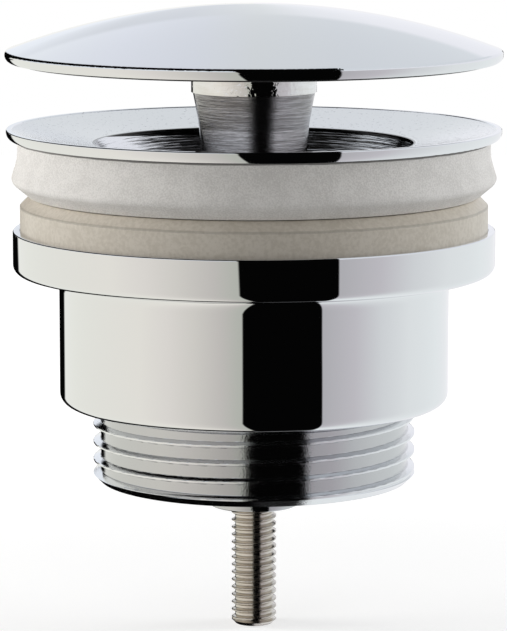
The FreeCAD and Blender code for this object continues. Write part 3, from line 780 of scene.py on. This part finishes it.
class Turning:
    """Makes closed turned meshes from an outline in radius and height, with rows for a thread in its wall."""

    ARC_STEPS = 8

    def __init__(self, name: str, corners: Sequence[Corner], around: int,
                 thread: ScrewThread | None = None) -> None:
        """Holds what is turned.

        Args:
            name: The piece's name.
            corners: Its closed outline, in order, outer wall downwards.
            around: How many faces it has around the axis.
            thread: The thread that its outer wall carries, if any.
        """
        self.name = name
        self.corners = corners
        self.around = around
        self.thread = thread

    def rounded(self, index: int) -> list[Vector]:
        """The points of one corner.

        Args:
            index: Which corner.

        Returns:
            The corner alone where it is sharp, and its arc where it is rounded.
        """
        corner = self.corners[index]
        here = Vector((corner.radius, corner.height))
        if not corner.round:
            return [here]
        before, after = self.corners[index - 1], self.corners[(index + 1) % len(self.corners)]
        to_before = (Vector((before.radius, before.height)) - here).normalized()
        to_after = (Vector((after.radius, after.height)) - here).normalized()
        half = to_before.angle(to_after) / 2
        reach = corner.round / math.tan(half)
        start, end = here + to_before * reach, here + to_after * reach
        centre = here + (to_before + to_after).normalized() * (corner.round / math.sin(half))
        first, last = start - centre, end - centre
        turn = first.angle(last)
        points = []
        for step in range(self.ARC_STEPS + 1):
            share = step / self.ARC_STEPS
            weights = math.sin((1 - share) * turn) / math.sin(turn), math.sin(share * turn) / math.sin(turn)
            points.append(centre + first * weights[0] + last * weights[1])
        return points

    def outline(self) -> list[Vector]:
        """Lays out the closed outline.

        Returns:
            All its points, with the thread's rows in its wall.
        """
        points = [point for index in range(len(self.corners)) for point in self.rounded(index)]
        if self.thread is None:
            return points
        filled = []
        for here, after in zip(points, points[1:] + points[:1]):
            filled.append(here)
            upright = abs(here.x - after.x) < TINY and here.y > after.y
            if upright and here.y >= self.thread.bottom and after.y <= self.thread.top and here.x > 0:
                rows = max(1, round((here.y - after.y) / self.thread.pitch * self.thread.rows_per_pitch))
                filled += [here.lerp(after, row / rows) for row in range(1, rows)]
        return filled

    def build(self) -> bpy.types.Object:
        """Turns the outline into a closed mesh.

        Returns:
            Its object.
        """
        work = bmesh.new()
        wheels = []
        for point in self.outline():
            if point.x < TINY:
                wheels.append([work.verts.new((0, 0, point.y * MM))] * self.around)
                continue
            angles = (FULL_TURN * step / self.around for step in range(self.around))
            reach, height = point.x * MM, point.y * MM
            wheels.append([work.verts.new((reach * math.cos(a), reach * math.sin(a), height)) for a in angles])
        for upper, lower in zip(wheels, wheels[1:] + wheels[:1]):
            for step in range(self.around):
                following = (step + 1) % self.around
                corners = (upper[step], lower[step], lower[following], upper[following])
                distinct = list(dict.fromkeys(corners))
                if len(distinct) > 2:
                    work.faces.new(distinct)
        bmesh.ops.recalc_face_normals(work, faces=work.faces)
        return object_of(self.name, work)


class ThreadCutter:
    """Geometry nodes that cut a right-handed thread into the outer wall of a turned mesh."""

    WALL_REACH = 0.02
    AXIS_RADIUS = 1e-9

    def __init__(self, thread: ScrewThread, wall: float) -> None:
        """Holds the tree's sizes: the thread's, and the radius of the wall that it is cut in."""
        self.sizes = {"Pitch": thread.pitch, "Depth": thread.depth, "Crest": thread.crest,
                      "Flank": thread.flank, "Wall": wall, "Top": thread.top, "Bottom": thread.bottom,
                      "Fade Top": thread.fade_top, "Fade Bottom": thread.fade_bottom}

    def tree(self) -> bpy.types.NodeTree:
        """Builds the node tree.

        Returns:
            The tree, which moves the wall's points inwards as the thread's turns say.
        """
        group = bpy.data.node_groups.new("cut_thread", "GeometryNodeTree")
        sheet = Sheet(group)
        group.interface.new_socket("Geometry", in_out="INPUT", socket_type="NodeSocketGeometry")
        for name in self.sizes:
            group.interface.new_socket(name, in_out="INPUT", socket_type="NodeSocketFloat")
        group.interface.new_socket("Material", in_out="INPUT", socket_type="NodeSocketMaterial")
        group.interface.new_socket("Geometry", in_out="OUTPUT", socket_type="NodeSocketGeometry")
        entry = sheet.add("NodeGroupInput").socket.node
        size = {name: Value(sheet, entry.outputs[name]) for name in self.sizes}
        x, y, z = sheet.axes(sheet.add("GeometryNodeInputPosition"))
        radius = x.length_with(y)
        height = z / MM
        turn = y.angle_from(x) / FULL_TURN
        phase = (height / size["Pitch"] - turn).part()
        from_crest = (phase - 0.5).size()
        fall = ((from_crest - size["Crest"] / 2) / size["Flank"]).most(0.0).least(1.0)
        above = ((size["Top"] - height) / size["Fade Top"]).most(0.0).least(1.0)
        below = ((height - size["Bottom"]) / size["Fade Bottom"]).most(0.0).least(1.0)
        on_wall = sheet.number("LESS_THAN", (radius / MM - size["Wall"]).size(), self.WALL_REACH)
        inwards = fall * above * below * on_wall * size["Depth"] * -MM
        reach = radius.most(self.AXIS_RADIUS)
        offset = sheet.vector(x / reach * inwards, y / reach * inwards, 0.0)
        inputs = {"Geometry": Value(sheet, entry.outputs["Geometry"]), "Offset": offset}
        cut = sheet.add("GeometryNodeSetPosition", {}, inputs)
        real = sheet.add("GeometryNodeRealizeInstances", {}, {0: cut})
        dressed_inputs = {"Geometry": real, "Material": Value(sheet, entry.outputs["Material"])}
        dressed = sheet.add("GeometryNodeSetMaterial", {}, dressed_inputs)
        sheet.add("NodeGroupOutput", {}, {0: dressed})
        return group

    def cut(self, piece: bpy.types.Object, material: bpy.types.Material) -> None:
        """Cuts the thread in a piece's mesh.

        Args:
            piece: The turned object, which keeps its name and gets the new mesh.
            material: What the cut mesh is made of.
        """
        modifier = piece.modifiers.new("thread", "NODES")
        modifier.node_group = self.tree()
        sockets = {item.name: item.identifier for item in modifier.node_group.interface.items_tree
                   if item.in_out == "INPUT"}
        for name, size in self.sizes.items():
            modifier[sockets[name]] = float(size)
        modifier[sockets["Material"]] = material
        apply_modifier(piece, modifier)


@dataclass
class LowerHalf:
    """The cup-shaped lower body with its threaded tail, in millimetres."""

    ring_radius: float = 31.20
    ring_top: float = -4.60
    ring_top_round: float = 0.2
    ring_bottom: float = -10.10
    ring_bottom_round: float = 1.1
    recess_radius: float = 30.30
    gasket_bottom: float = -7.50
    cup_radius: float = 25.25
    cup_root_round: float = 2.0
    cup_bore: float = 22.75
    cup_bottom: float = -27.20
    cup_bottom_round: float = 1.4
    cup_floor: float = 2.00
    tail_radius: float = 20.955
    tail_bore: float = 17.80
    tail_bottom: float = -37.30
    tail_chamfer: float = 0.85
    thread_gap: float = 0.05
    rib_width: float = 2.60
    rib_height: float = 3.00
    boss_radius: float = 5.75
    boss_bottom: float = -41.00
    boss_round: float = 0.3
    hole_radius: float = 3.05
    around: int = 300
    sharp_degrees: float = 35

    def thread(self) -> ScrewThread:
        """The tail's pipe thread, 11 turns to the inch."""
        top, bottom = self.cup_bottom - self.thread_gap, self.tail_bottom + self.tail_chamfer
        return ScrewThread(pitch=25.4 / 11, depth=0.98, crest=0.10, flank=0.13, top=top, bottom=bottom,
                           fade_top=0.9, fade_bottom=0.5, rows_per_pitch=52)

    def shell(self) -> bpy.types.Object:
        """Turns the ring, cup and tail.

        Returns:
            Their one shell, with rows for the thread.
        """
        corners = (
            Corner(self.recess_radius, self.ring_top),
            Corner(self.ring_radius, self.ring_top, self.ring_top_round),
            Corner(self.ring_radius, self.ring_bottom, self.ring_bottom_round),
            Corner(self.cup_radius, self.ring_bottom, self.cup_root_round),
            Corner(self.cup_radius, self.cup_bottom, self.cup_bottom_round),
            Corner(self.tail_radius, self.cup_bottom),
            Corner(self.tail_radius, self.tail_bottom + self.tail_chamfer),
            Corner(self.tail_radius - self.tail_chamfer, self.tail_bottom),
            Corner(self.tail_bore, self.tail_bottom),
            Corner(self.tail_bore, self.cup_bottom + self.cup_floor),
            Corner(self.cup_bore, self.cup_bottom + self.cup_floor),
            Corner(self.cup_bore, self.gasket_bottom),
            Corner(self.recess_radius, self.gasket_bottom),
        )
        return Turning("lower_shell", corners, self.around, self.thread()).build()

    def boss(self) -> bpy.types.Object:
        """Turns the bored boss that the screw passes through.

        Returns:
            The boss.
        """
        top = self.tail_bottom + self.rib_height
        corners = (
            Corner(self.boss_radius, top),
            Corner(self.boss_radius, self.boss_bottom, self.boss_round),
            Corner(self.hole_radius, self.boss_bottom),
            Corner(self.hole_radius, top),
        )
        return Turning("lower_boss", corners, self.around // 2).build()

    def ribs(self) -> list[bpy.types.Object]:
        """Makes the four ribs that join the boss to the tail.

        Returns:
            The ribs, one box each.
        """
        half, top = self.rib_width / 2, self.tail_bottom + self.rib_height
        inner = (self.boss_radius + self.hole_radius) / 2
        outer = (self.tail_bore + self.tail_radius - self.tail_chamfer) / 2
        spans = ((inner, -half, outer, half), (-outer, -half, -inner, half),
                 (-half, inner, half, outer), (-half, -outer, half, -inner))
        return [box_between(f"lower_rib_{number}", Vector((a, b, self.tail_bottom)), Vector((c, d, top)))
                for number, (a, b, c, d) in enumerate(spans)]

    def build(self, material: bpy.types.Material) -> bpy.types.Object:
        """Makes the lower body and gives it its place in the frame.

        Args:
            material: Its plate.

        Returns:
            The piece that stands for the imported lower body.
        """
        shell = self.shell()
        ThreadCutter(self.thread(), self.tail_radius).cut(shell, material)
        piece = merge_shells([shell, self.boss(), *self.ribs()])
        dress_piece(piece, "lower_body_plated", material, self.sharp_degrees)
        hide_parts("lower_body")
        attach(piece, "lower_half")
        return piece


@dataclass
class ClampScrew:
    """The long slotted screw that draws the two halves together, in millimetres."""

    crest_radius: float = 2.93
    end: float = -56.80
    end_chamfer: float = 0.50
    thread_gap: float = 0.6
    head_bottom: float = -28.40
    head_bottom_round: float = 0.2
    head_top: float = -24.50
    head_top_round: float = 0.5
    head_radius: float = 5.00
    slot_width: float = 1.60
    slot_depth: float = 1.80
    sunk: float = 0.5
    shank_around: int = 64
    head_around: int = 96
    sharp_degrees: float = 50

    def thread(self) -> ScrewThread:
        """The metric coarse thread, 1 mm to the turn."""
        top, bottom = self.head_bottom - self.thread_gap, self.end + self.end_chamfer
        return ScrewThread(pitch=1.0, depth=0.47, crest=0.14, flank=0.27, top=top, bottom=bottom,
                           fade_top=1.0, fade_bottom=0.25, rows_per_pitch=26)

    def shank(self, material: bpy.types.Material) -> bpy.types.Object:
        """Makes the threaded shank.

        Args:
            material: Its steel.

        Returns:
            The shank, which reaches a little way into the head.
        """
        corners = (
            Corner(0, self.head_bottom + self.sunk),
            Corner(self.crest_radius, self.head_bottom + self.sunk),
            Corner(self.crest_radius, self.end + self.end_chamfer),
            Corner(self.crest_radius - self.end_chamfer, self.end),
            Corner(0, self.end),
        )
        shank = Turning("screw_shank", corners, self.shank_around, self.thread()).build()
        ThreadCutter(self.thread(), self.crest_radius).cut(shank, material)
        return shank

    def head(self) -> bpy.types.Object:
        """Makes the slotted head.

        Returns:
            The head.
        """
        corners = (
            Corner(0, self.head_top),
            Corner(self.head_radius, self.head_top, self.head_top_round),
            Corner(self.head_radius, self.head_bottom, self.head_bottom_round),
            Corner(0, self.head_bottom),
        )
        head = Turning("screw_head", corners, self.head_around).build()
        half, reach = self.slot_width / 2, self.head_radius * 2
        low = Vector((-reach, -half, self.head_top - self.slot_depth))
        cutter = box_between("slot_cutter", low, Vector((reach, half, self.head_top + 1)))
        slot = head.modifiers.new("slot", "BOOLEAN")
        slot.operation = "DIFFERENCE"
        slot.solver = "EXACT"
        slot.object = cutter
        apply_modifier(head, slot)
        bpy.data.objects.remove(cutter)
        return head

    def build(self, material: bpy.types.Material) -> bpy.types.Object:
        """Makes the screw and gives it its place in the frame.

        Args:
            material: Its steel.

        Returns:
            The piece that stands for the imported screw.
        """
        piece = merge_shells([self.shank(material), self.head()])
        dress_piece(piece, "clamp_screw_threaded", material, self.sharp_degrees)
        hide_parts("clamp_screw")
        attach(piece, "screw")
        return piece


@dataclass
class ReturnSpring:
    """The coil spring inside the neck, in millimetres.

    It rides on the cap.
    """

    coil_radius: float = 4.80
    wire_radius: float = 0.33
    start: float = -3.60
    end: float = 8.60
    turns: float = 5.5
    steps_per_turn: int = 48
    sides: int = 12
    sharp_degrees: float = 50
    pressed_share: float = 0.348

    def ring(self, share: float) -> list[Vector]:
        """The points round the wire.

        Args:
            share: How far along the wire, from 0 to 1.

        Returns:
            The points, in metres.
        """
        turn = FULL_TURN * self.turns * share
        across, deep = math.cos(turn), math.sin(turn)
        outwards = Vector((across, deep, 0))
        rise = (self.end - self.start) / (FULL_TURN * self.turns)
        along = Vector((-deep * self.coil_radius, across * self.coil_radius, rise)).normalized()
        upwards = outwards.cross(along) * -1
        centre = outwards * self.coil_radius + Vector((0, 0, self.start + (self.end - self.start) * share))
        angles = (FULL_TURN * side / self.sides for side in range(self.sides))
        return [(centre + (outwards * math.cos(a) + upwards * math.sin(a)) * self.wire_radius) * MM
                for a in angles]

    def build(self, material: bpy.types.Material) -> bpy.types.Object:
        """Makes the spring and gives it its place in the frame.

        Args:
            material: Its steel.

        Returns:
            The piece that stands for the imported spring.
        """
        work = bmesh.new()
        steps = round(self.turns * self.steps_per_turn)
        rings = [[work.verts.new(point) for point in self.ring(step / steps)] for step in range(steps + 1)]
        for first, second in zip(rings, rings[1:]):
            for side in range(self.sides):
                after = (side + 1) % self.sides
                work.faces.new((first[side], first[after], second[after], second[side]))
        for end in (rings[0], rings[-1]):
            work.faces.new(end)
        bmesh.ops.recalc_face_normals(work, faces=work.faces)
        name = "return_spring_coil"
        piece = object_of(name, work)
        dress_piece(piece, name, material, self.sharp_degrees)
        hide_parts("return_spring")
        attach(piece, "cap_assembly")
        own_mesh(piece)
        return piece


@dataclass
class Surroundings:
    """What the metal mirrors: bright sides, a pale sky and dark stands, and a white view for the camera.

    The direction that metal mirrors to the camera gives back the metal's normal, because the camera looks
    back by view_depth and down by view_drop. Tilt is that normal's height, and aside its turn to the right.
    """

    ambient: float = 0.33
    dark: Colour = (0.0015, 0.0015, 0.0015)
    view_depth: float = 0.984
    view_drop: float = 0.175
    card_middle: float = 0.153
    card_half: float = 0.163
    card_lean: float = 0.03
    card_foot: float = 0.10
    card_taper: float = 0.075
    card_edge: Span = (0.056, 0.046)
    card_top: Span = (0.86, 0.78)
    strip_side: Span = (-150.0, -153.5)
    strip_top: Span = (-0.055, -0.065)
    panel_side: Span = (-0.03, -0.05)
    panel_foot: Span = (0.29, 0.32)
    panel_top: Span = (0.84, 0.78)
    bevel_tilt: float = 0.707
    bevel_edge: Span = (0.07, 0.045)
    bevel_side: Span = (0.20, 0.0)
    lowest_sky: float = 0.03
    horizon: Span = (0.02, 0.06)
    haze: Span = (0.08, 0.04)
    haze_tint: Colour = (0.94, 0.95, 0.97)
    high_sky: Span = (0.27, 0.33)

    SIDE_STOPS = (
        (-180, (0.94, 0.94, 0.92)), (-134, (0.95, 0.95, 0.87)), (-71, (0.94, 0.91, 0.83)),
        (-52, (0.87, 0.83, 0.77)), (-36, (0.77, 0.74, 0.68)), (-19, (0.64, 0.61, 0.57)),
        (-9, (0.55, 0.56, 0.50)), (42, (0.53, 0.52, 0.54)), (62, (0.63, 0.61, 0.64)),
        (81, (0.77, 0.79, 0.80)), (104, (0.88, 0.91, 0.91)), (136, (0.92, 0.96, 0.96)),
        (180, (0.93, 0.92, 0.95)),
    )
    LOW_SKY_STOPS = (
        (-0.8, (0.90, 0.94, 1.0)), (-0.4, (0.74, 0.77, 0.82)), (-0.2, (0.73, 0.76, 0.81)),
        (0.02, (0.79, 0.82, 0.84)), (0.15, (0.88, 0.90, 0.94)), (0.35, (0.93, 0.94, 0.99)),
    )
    HIGH_SKY_STOPS = (
        (-0.7, (0.92, 0.96, 1.0)), (-0.3, (0.84, 0.87, 0.94)), (-0.12, (0.79, 0.82, 0.88)),
        (0.0, (0.77, 0.80, 0.82)), (0.2, (0.755, 0.79, 0.83)), (0.6, (0.79, 0.83, 0.87)),
    )

    @staticmethod
    def ramp(sheet: Sheet, factor: Value, span: float, stops: Stops) -> Value:
        """A colour that changes along a factor, through stops over a span that has 0 in its middle."""
        settings = {"stops": [(place / span + 0.5, colour) for place, colour in stops]}
        return sheet.add("ShaderNodeValToRGB", settings, {0: factor / span + 0.5})

    def bright(self, sheet: Sheet, way: Sequence[Value], azimuth: Value) -> Value:
        """The bright sides and the sky over them.

        Args:
            sheet: The world's sheet.
            way: The three parts of the direction that is looked in.
            azimuth: That direction's turn from the camera to the right, in degrees.

        Returns:
            Their colour.
        """
        x, _, z = way
        sides = self.ramp(sheet, azimuth, 360, self.SIDE_STOPS)
        lean = x / z.most(self.lowest_sky)
        low = self.ramp(sheet, lean, 2, self.LOW_SKY_STOPS)
        high = self.ramp(sheet, lean, 2, self.HIGH_SKY_STOPS)
        sky = sheet.blend(z.rises(*self.high_sky), low, high)
        sky = sheet.blend(z.rises(*self.haze), sky, self.haze_tint)
        return sheet.blend(z.rises(*self.horizon), sides, sky)

    def stands(self, way: Sequence[Value], azimuth: Value) -> Value:
        """The dark stands: the card beside the camera, a strip, a panel, and a bevel's dark side.

        Args:
            way: The three parts of the direction that is looked in.
            azimuth: That direction's turn from the camera to the right, in degrees.

        Returns:
            1 on a stand and 0 beside it.
        """
        x, y, z = way
        away = self.view_depth - y
        drop = z + self.view_drop
        tilt = drop / (x * x + away * away + drop * drop).math_on("SQRT")
        aside = x / away
        lean = tilt * self.card_lean
        across = ((aside + lean - self.card_middle).size() - lean - self.card_half).most(0.0)
        along = (-tilt - self.card_foot).most(0.0) * self.card_taper
        card = across.length_with(along).rises(*self.card_edge) * tilt.rises(*self.card_top)
        strip = azimuth.rises(*self.strip_side) * z.rises(*self.strip_top)
        panel = aside.rises(*self.panel_side) * tilt.rises(*self.panel_foot) * tilt.rises(*self.panel_top)
        bevel = (tilt + self.bevel_tilt).size().rises(*self.bevel_edge) * x.rises(*self.bevel_side)
        return card.most(strip).most(panel).most(bevel)

    def build(self) -> None:
        """Sets up the world."""
        world = bpy.data.worlds.new("studio")
        bpy.context.scene.world = world
        world.use_nodes = True
        sheet = Sheet(world.node_tree)
        way = sheet.axes(sheet.add("ShaderNodeTexCoord", output="Generated"))
        azimuth = way[0].angle_from(-way[1]) * (180 / math.pi)
        mirrored = sheet.blend(self.stands(way, azimuth), self.bright(sheet, way, azimuth), self.dark)
        rays = sheet.add("ShaderNodeLightPath").socket.node
        seen = Value(sheet, rays.outputs["Is Camera Ray"])
        glossy = Value(sheet, rays.outputs["Is Glossy Ray"])
        through = Value(sheet, rays.outputs["Is Transmission Ray"])
        around = (self.ambient, self.ambient, self.ambient)
        light = sheet.blend(glossy.most(through), around, mirrored)
        colour = sheet.blend(seen, light, (1.0, 1.0, 1.0))
        background = sheet.add("ShaderNodeBackground", {}, {"Color": colour, "Strength": 1.0})
        sheet.add("ShaderNodeOutputWorld", {}, {"Surface": background})


@dataclass(frozen=True)
class Lamp:
    """A lamp: its turn from the camera to the right and its height in degrees, its watts and its colour."""

    name: str
    azimuth: float
    elevation: float
    power: float
    colour: Colour


@dataclass
class Studio:
    """The camera, the lamps and the floor, in metres and degrees."""

    distance: float = 0.460
    height: float = 0.05256
    pitch_down: float = 8.48
    focal_pixels: float = 3577.5
    axis_pixel: float = 254.0
    picture: tuple[int, int] = (507, 631)
    sensor: float = 36.0
    clipping: Span = (0.01, 20.0)
    lamp_distance: float = 0.55
    lamp_size: float = 0.30
    floor_radius: float = 0.60
    floor_around: int = 96
    floor_gap: float = 0.0001
    floor_thickness: float = 0.001
    floor_tint: Colour = (0.60, 0.60, 0.60)
    near_glow: Colour = (0.60, 0.60, 0.60)
    far_glow: Colour = (0.82, 0.82, 0.82)
    glow_span: Span = (40.0, 200.0)

    LAMPS = (
        Lamp("lamp_left", -95.0, 12.0, 1.8, (1.0, 0.985, 0.96)),
        Lamp("lamp_right", 100.0, 12.0, 1.53, (0.97, 0.985, 1.0)),
        Lamp("lamp_front", -38.0, 15.0, 0.252, (1.0, 0.985, 0.96)),
    )

    def camera(self) -> None:
        """Puts the camera where the photograph was taken from."""
        data = bpy.data.cameras.new("camera")
        data.sensor_width = self.sensor
        data.lens = self.focal_pixels * self.sensor / max(self.picture)
        data.shift_x = (self.picture[0] / 2 - self.axis_pixel) / max(self.picture)
        data.clip_start, data.clip_end = self.clipping
        camera = new_object("camera", data)
        camera.location = (0.0, -self.distance, self.height)
        camera.rotation_euler = (math.radians(90 - self.pitch_down), 0.0, 0.0)
        bpy.context.scene.camera = camera

    def lamp(self, lamp: Lamp) -> None:
        """Sets up a soft lamp that metal doesn't mirror, because the surroundings are what it mirrors.

        Args:
            lamp: What lamp it is and where it stands.
        """
        data = bpy.data.lights.new(lamp.name, "AREA")
        data.shape = "DISK"
        data.size = self.lamp_size
        data.energy = lamp.power
        data.color = lamp.colour
        item = new_object(lamp.name, data)
        turn, rise = math.radians(lamp.azimuth), math.radians(lamp.elevation)
        away = Vector((math.sin(turn) * math.cos(rise), -math.cos(turn) * math.cos(rise), math.sin(rise)))
        item.location = away * self.lamp_distance
        item.rotation_euler = away.to_track_quat("Z", "Y").to_euler()
        item.visible_glossy = False

    def floor(self, level: float) -> None:
        """Lays a plain pale floor that goes over into the white background and keeps a soft shadow.

        Args:
            level: Its height, in metres.
        """
        rim, thick = self.floor_radius / MM, self.floor_thickness / MM
        corners = (Corner(0, 0), Corner(rim, 0), Corner(rim, -thick), Corner(0, -thick))
        floor = Turning("floor", corners, self.floor_around).build()
        floor.data.transform(Matrix.Translation((0, 0, level)))
        material, sheet = new_material("floor_white")
        matt = sheet.add("ShaderNodeBsdfDiffuse", {}, {"Color": sheet.opaque(self.floor_tint)})
        seen = sheet.add("ShaderNodeLightPath", output="Is Camera Ray")
        x, y, _ = sheet.axes(sheet.millimetres())
        far = x.length_with(y).rises(*self.glow_span)
        white = sheet.blend(far, self.near_glow, self.far_glow)
        glow = sheet.add("ShaderNodeEmission", {}, {"Color": white, "Strength": seen})
        surface = sheet.add("ShaderNodeAddShader", {}, {0: matt, 1: glow})
        sheet.add("ShaderNodeOutputMaterial", {}, {"Surface": surface})
        floor.data.materials.append(material)
        floor.visible_glossy = False
        floor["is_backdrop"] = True

    def build(self, floor_level: float) -> None:
        """Sets up the whole studio.

        Args:
            floor_level: The height of the object's lowest point, in metres.
        """
        bpy.context.scene.view_settings.view_transform = "Standard"
        self.camera()
        for lamp in self.LAMPS:
            self.lamp(lamp)
        self.floor(floor_level - self.floor_gap)
        Surroundings().build()


@dataclass
class PlainNodes:
    """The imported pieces, by name. Those that no other piece stands for show their own meshes."""

    nodes: Mapping[str, bpy.types.Object]

    def dress(self, materials: Mapping[str, bpy.types.Material]) -> None:
        """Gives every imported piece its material.

        Args:
            materials: The material of each piece, by the piece's name.
        """
        for name, material in materials.items():
            for slot in self.nodes[name].material_slots:
                slot.material = material
            LOG.info("%s: %s", name, material.name)


def main() -> None:
    """Builds the scene in order and reports each piece."""
    logging.basicConfig(level=logging.INFO, format="%(message)s")
    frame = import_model()
    cad_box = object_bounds()
    materials = {node: finish.build() for node, finish in FINISHES.items()}
    builders = {"lower_body": LowerHalf(), "clamp_screw": ClampScrew(), "return_spring": ReturnSpring()}
    for node, builder in builders.items():
        piece = builder.build(materials[node])
        LOG.info("%s: %d faces", piece.name, len(piece.data.polygons))
    PlainNodes(frame["nodes"]).dress(materials)
    Studio().build(min(corner[2] for corner in cad_box))


if __name__ == "__main__":
    main()
